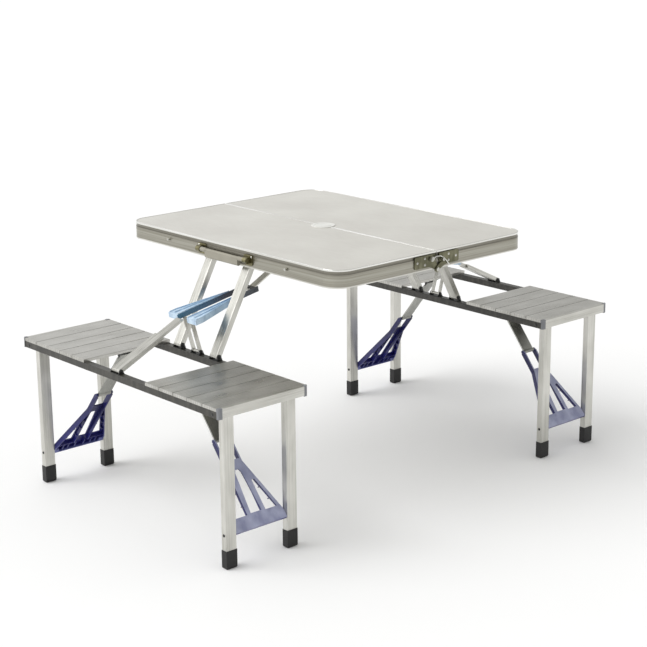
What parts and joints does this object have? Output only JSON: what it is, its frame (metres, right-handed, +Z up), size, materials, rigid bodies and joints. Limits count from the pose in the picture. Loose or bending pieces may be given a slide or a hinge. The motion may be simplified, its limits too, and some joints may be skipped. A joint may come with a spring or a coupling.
{
  "type": "folding picnic table",
  "caption": "Folding suitcase picnic table: two hinged tray halves form the top, with a slatted bench on folding legs along each long side.",
  "frame": {"origin": "on the floor under the middle of the table top", "axes": "+Z up, X along the seam between the halves, -Y towards the side with the carrying handle"},
  "size_m": [0.874, 1.386, 0.672],
  "materials": {
    "top_sheet": "satin",
    "rim": "satin",
    "plug": "satin",
    "hinge_steel": "satin",
    "rivet": "satin",
    "black_bracket": "satin",
    "rail": "satin",
    "seat": "brushed",
    "corner_cap": "satin",
    "tube": "satin",
    "blue_plastic": "satin",
    "foot": "matte",
    "hook_wire": "polished",
    "grip": "satin",
    "handle_metal": "satin"
  },
  "bodies": {
    "front_half": {"front_top_panel": "top_sheet", "front_edge_frame": "rim", "front_umbrella_plug": "plug", "front_hinge_plates": "hinge_steel", "front_rivets": "rivet", "front_table_brackets": "black_bracket", "front_table_pins": "rivet", "handle_brackets": "handle_metal"},
    "front_swing": {"front_swing_tubes": "tube"},
    "front_bench": {"front_bench_rails": "rail", "front_seat_slats": "seat", "front_seat_ends": "seat", "front_seat_corner_caps": "corner_cap", "front_bench_brackets": "black_bracket", "front_bench_pins": "rivet"},
    "front_stay_tube_arm": {"front_stay_tube": "tube"},
    "front_stay_fork_arm": {"front_stay_fork": "tube"},
    "front_centre_strut_arm": {"front_centre_strut": "tube"},
    "front_centre_brace_arm": {"front_centre_brace": "blue_plastic"},
    "front_right_leg_pair": {"front_right_legs": "tube", "front_right_feet": "foot"},
    "front_right_brace_arm": {"front_right_leg_brace": "blue_plastic"},
    "front_right_strut_arm": {"front_right_leg_strut": "tube"},
    "front_left_leg_pair": {"front_left_legs": "tube", "front_left_feet": "foot"},
    "front_left_brace_arm": {"front_left_leg_brace": "blue_plastic"},
    "front_left_strut_arm": {"front_left_leg_strut": "tube"},
    "rear_half": {"rear_top_panel": "top_sheet", "rear_edge_frame": "rim", "rear_umbrella_plug": "plug", "rear_hinge_plates": "hinge_steel", "rear_rivets": "rivet", "rear_table_brackets": "black_bracket", "rear_table_pins": "rivet"},
    "rear_swing": {"rear_swing_tubes": "tube"},
    "rear_bench": {"rear_bench_rails": "rail", "rear_seat_slats": "seat", "rear_seat_ends": "seat", "rear_seat_corner_caps": "corner_cap", "rear_bench_brackets": "black_bracket", "rear_bench_pins": "rivet"},
    "rear_stay_tube_arm": {"rear_stay_tube": "tube"},
    "rear_stay_fork_arm": {"rear_stay_fork": "tube"},
    "rear_centre_strut_arm": {"rear_centre_strut": "tube"},
    "rear_centre_brace_arm": {"rear_centre_brace": "blue_plastic"},
    "rear_right_leg_pair": {"rear_right_legs": "tube", "rear_right_feet": "foot"},
    "rear_right_brace_arm": {"rear_right_leg_brace": "blue_plastic"},
    "rear_right_strut_arm": {"rear_right_leg_strut": "tube"},
    "rear_left_leg_pair": {"rear_left_legs": "tube", "rear_left_feet": "foot"},
    "rear_left_brace_arm": {"rear_left_leg_brace": "blue_plastic"},
    "rear_left_strut_arm": {"rear_left_leg_strut": "tube"},
    "right_hook": {"right_lock_hook": "hook_wire"},
    "left_hook": {"left_lock_hook": "hook_wire"},
    "handle": {"carry_handle": "grip"}
  },
  "joints": [
    {"name": "front_bench_swing", "type": "hinge", "parent": "front_half", "child": "front_swing", "pos_m": [0, -0.302, 0.654], "axis": [1, 0, 0], "range_deg": [0, 118.41]},
    {"name": "front_bench_level", "type": "hinge", "parent": "front_swing", "child": "front_bench", "pos_m": [0, -0.434, 0.41], "axis": [1, 0, 0], "range_deg": [-118.44, 0]},
    {"name": "front_stay_tube_fold", "type": "hinge", "parent": "front_bench", "child": "front_stay_tube_arm", "pos_m": [0, -0.681, 0.407], "axis": [1, 0, 0], "range_deg": [-25.51, 0]},
    {"name": "front_stay_fork_fold", "type": "hinge", "parent": "front_bench", "child": "front_stay_fork_arm", "pos_m": [0, -0.434, 0.407], "axis": [1, 0, 0], "range_deg": [0, 74.01]},
    {"name": "front_centre_strut_fold", "type": "hinge", "parent": "front_half", "child": "front_centre_strut_arm", "pos_m": [0, -0.03, 0.66], "axis": [1, 0, 0], "range_deg": [-27.91, 0]},
    {"name": "front_centre_brace_fold", "type": "hinge", "parent": "front_centre_strut_arm", "child": "front_centre_brace_arm", "pos_m": [0, -0.2585, 0.539], "axis": [1, 0, 0], "range_deg": [0, 197.49]},
    {"name": "front_right_leg_fold", "type": "hinge", "parent": "front_bench", "child": "front_right_leg_pair", "pos_m": [0.3915, -0.5575, 0.3905], "axis": [0, 1, 0], "range_deg": [0, 90]},
    {"name": "front_right_brace_fold", "type": "hinge", "parent": "front_right_leg_pair", "child": "front_right_brace_arm", "pos_m": [0.3915, -0.5575, 0.085], "axis": [0, 1, 0], "range_deg": [0, 38.79]},
    {"name": "front_right_strut_fold", "type": "hinge", "parent": "front_bench", "child": "front_right_strut_arm", "pos_m": [0.146, -0.5575, 0.3905], "axis": [0, 1, 0], "range_deg": [-51.22, 0]},
    {"name": "front_left_leg_fold", "type": "hinge", "parent": "front_bench", "child": "front_left_leg_pair", "pos_m": [-0.3915, -0.5575, 0.3905], "axis": [0, -1, 0], "range_deg": [0, 90]},
    {"name": "front_left_brace_fold", "type": "hinge", "parent": "front_left_leg_pair", "child": "front_left_brace_arm", "pos_m": [-0.3915, -0.5575, 0.085], "axis": [0, -1, 0], "range_deg": [0, 38.79]},
    {"name": "front_left_strut_fold", "type": "hinge", "parent": "front_bench", "child": "front_left_strut_arm", "pos_m": [-0.146, -0.5575, 0.3905], "axis": [0, -1, 0], "range_deg": [-51.22, 0]},
    {"name": "rear_bench_swing", "type": "hinge", "parent": "rear_half", "child": "rear_swing", "pos_m": [0, 0.302, 0.654], "axis": [-1, 0, 0], "range_deg": [0, 118.41]},
    {"name": "rear_bench_level", "type": "hinge", "parent": "rear_swing", "child": "rear_bench", "pos_m": [0, 0.434, 0.41], "axis": [-1, 0, 0], "range_deg": [-118.44, 0]},
    {"name": "rear_stay_tube_fold", "type": "hinge", "parent": "rear_bench", "child": "rear_stay_tube_arm", "pos_m": [0, 0.681, 0.407], "axis": [-1, 0, 0], "range_deg": [-25.51, 0]},
    {"name": "rear_stay_fork_fold", "type": "hinge", "parent": "rear_bench", "child": "rear_stay_fork_arm", "pos_m": [0, 0.434, 0.407], "axis": [-1, 0, 0], "range_deg": [0, 74.01]},
    {"name": "rear_centre_strut_fold", "type": "hinge", "parent": "rear_half", "child": "rear_centre_strut_arm", "pos_m": [0, 0.03, 0.66], "axis": [-1, 0, 0], "range_deg": [-27.91, 0]},
    {"name": "rear_centre_brace_fold", "type": "hinge", "parent": "rear_centre_strut_arm", "child": "rear_centre_brace_arm", "pos_m": [0, 0.2585, 0.539], "axis": [-1, 0, 0], "range_deg": [0, 197.49]},
    {"name": "rear_right_leg_fold", "type": "hinge", "parent": "rear_bench", "child": "rear_right_leg_pair", "pos_m": [0.3915, 0.5575, 0.3905], "axis": [0, 1, 0], "range_deg": [0, 90]},
    {"name": "rear_right_brace_fold", "type": "hinge", "parent": "rear_right_leg_pair", "child": "rear_right_brace_arm", "pos_m": [0.3915, 0.5575, 0.085], "axis": [0, 1, 0], "range_deg": [0, 38.79]},
    {"name": "rear_right_strut_fold", "type": "hinge", "parent": "rear_bench", "child": "rear_right_strut_arm", "pos_m": [0.146, 0.5575, 0.3905], "axis": [0, 1, 0], "range_deg": [-51.22, 0]},
    {"name": "rear_left_leg_fold", "type": "hinge", "parent": "rear_bench", "child": "rear_left_leg_pair", "pos_m": [-0.3915, 0.5575, 0.3905], "axis": [0, -1, 0], "range_deg": [0, 90]},
    {"name": "rear_left_brace_fold", "type": "hinge", "parent": "rear_left_leg_pair", "child": "rear_left_brace_arm", "pos_m": [-0.3915, 0.5575, 0.085], "axis": [0, -1, 0], "range_deg": [0, 38.79]},
    {"name": "rear_left_strut_fold", "type": "hinge", "parent": "rear_bench", "child": "rear_left_strut_arm", "pos_m": [-0.146, 0.5575, 0.3905], "axis": [0, -1, 0], "range_deg": [-51.22, 0]},
    {"name": "seam_fold", "type": "hinge", "parent": "front_half", "child": "rear_half", "pos_m": [0, 0, 0.6235], "axis": [-1, 0, 0], "range_deg": [0, 60]},
    {"name": "handle_swing", "type": "hinge", "parent": "front_half", "child": "handle", "pos_m": [0, -0.3455, 0.646], "axis": [-1, 0, 0], "range_deg": [0, 80]},
    {"name": "right_hook_lift", "type": "hinge", "parent": "front_half", "child": "right_hook", "pos_m": [0.4326, -0.022, 0.653], "axis": [1, 0, 0], "range_deg": [0, 75]},
    {"name": "left_hook_lift", "type": "hinge", "parent": "front_half", "child": "left_hook", "pos_m": [-0.4326, -0.022, 0.653], "axis": [1, 0, 0], "range_deg": [0, 75]}
  ],
  "couplings": [
    {"joint": "front_bench_level", "follows": "front_bench_swing", "ratio": -1},
    {"joint": "front_stay_tube_fold", "follows": "front_bench_swing", "ratio": -0.21535},
    {"joint": "front_stay_fork_fold", "follows": "front_bench_swing", "ratio": 0.62493},
    {"joint": "front_centre_strut_fold", "follows": "front_bench_swing", "ratio": -0.23564},
    {"joint": "front_centre_brace_fold", "follows": "front_bench_swing", "ratio": 1.6675},
    {"joint": "front_right_brace_fold", "follows": "front_right_leg_fold", "ratio": 0.43095},
    {"joint": "front_right_strut_fold", "follows": "front_right_leg_fold", "ratio": -0.56905},
    {"joint": "front_left_brace_fold", "follows": "front_left_leg_fold", "ratio": 0.43095},
    {"joint": "front_left_strut_fold", "follows": "front_left_leg_fold", "ratio": -0.56905},
    {"joint": "rear_bench_level", "follows": "rear_bench_swing", "ratio": -1},
    {"joint": "rear_stay_tube_fold", "follows": "rear_bench_swing", "ratio": -0.21535},
    {"joint": "rear_stay_fork_fold", "follows": "rear_bench_swing", "ratio": 0.62493},
    {"joint": "rear_centre_strut_fold", "follows": "rear_bench_swing", "ratio": -0.23564},
    {"joint": "rear_centre_brace_fold", "follows": "rear_bench_swing", "ratio": 1.6675},
    {"joint": "rear_right_brace_fold", "follows": "rear_right_leg_fold", "ratio": 0.43095},
    {"joint": "rear_right_strut_fold", "follows": "rear_right_leg_fold", "ratio": -0.56905},
    {"joint": "rear_left_brace_fold", "follows": "rear_left_leg_fold", "ratio": 0.43095},
    {"joint": "rear_left_strut_fold", "follows": "rear_left_leg_fold", "ratio": -0.56905}
  ]
}
